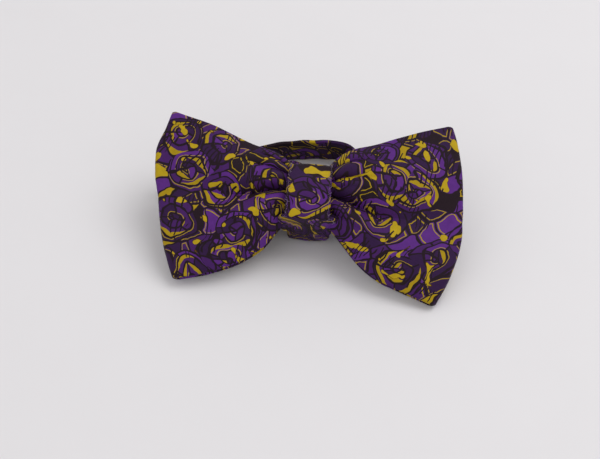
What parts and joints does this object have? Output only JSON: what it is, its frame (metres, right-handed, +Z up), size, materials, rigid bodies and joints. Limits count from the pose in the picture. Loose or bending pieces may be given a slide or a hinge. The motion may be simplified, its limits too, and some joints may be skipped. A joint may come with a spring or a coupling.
{
  "type": "bow tie",
  "caption": "Pre-tied bow tie with two folded wings, a wrapped knot and an adjustable neck strap coiled behind it, closed by a hook and an eye",
  "frame": {"origin": "Middle of the footprint of the whole object, at the height of the surface it stands on", "axes": "+X along the bow towards the right wing, +Y away from the bow's face towards the coiled strap, +Z up"},
  "size_m": [0.1216, 0.0736, 0.0406],
  "materials": {
    "printed_cloth": "purple cloth printed with mustard and black flower outlines",
    "stiffening": "plain off-white stiffening",
    "thread": "dark sewing thread",
    "metal": "nickel-plated wire and strip"
  },
  "bodies": {
    "strap": {"neck_strap": "printed_cloth", "strap_interlining": "stiffening", "eye_fold_stitches": "thread"},
    "bow": {"bow_waist": "printed_cloth", "waist_thread": "thread", "knot_wrap": "printed_cloth", "knot_wrap_interlining": "stiffening", "knot_back_stitches": "thread"},
    "left_wing": {"left_wing_fabric": "printed_cloth", "left_wing_interlining": "stiffening", "left_wing_facing": "printed_cloth"},
    "right_wing": {"right_wing_fabric": "printed_cloth", "right_wing_interlining": "stiffening", "right_wing_facing": "printed_cloth"},
    "slider": {"strap_slider": "metal"},
    "hook": {"hook": "metal"},
    "eye": {"eye_loop": "metal"}
  },
  "joints": [
    {"name": "bow_slide", "type": "slide", "parent": "strap", "child": "bow", "axis": [1, 0, 0], "range_m": [-0.012, 0.001]},
    {"name": "left_wing_flex", "type": "hinge", "parent": "bow", "child": "left_wing", "pos_m": [-0.00851, -0.00559, 0.02802], "axis": [0, 0.866, 0.5], "range_deg": [-3, 30], "stiffness_Nm_per_rad": 0.05},
    {"name": "right_wing_flex", "type": "hinge", "parent": "bow", "child": "right_wing", "pos_m": [0.00969, -0.00559, 0.02802], "axis": [0, -0.866, -0.5], "range_deg": [-3, 30], "stiffness_Nm_per_rad": 0.05},
    {"name": "slider_slide", "type": "slide", "parent": "strap", "child": "slider", "axis": [-0.9397, -0.3419, 0.009], "range_m": [-0.006, 0.006]},
    {"name": "hook_swing", "type": "hinge", "parent": "strap", "child": "hook", "pos_m": [-0.0505, 0.02152, 0.00798], "axis": [0, 0.0262, 0.9997], "range_deg": [-60, 60]},
    {"name": "eye_swing", "type": "hinge", "parent": "strap", "child": "eye", "pos_m": [-0.02796, 0.01296, 0.00821], "axis": [0, 0.0262, 0.9997], "range_deg": [-50, 50]}
  ]
}
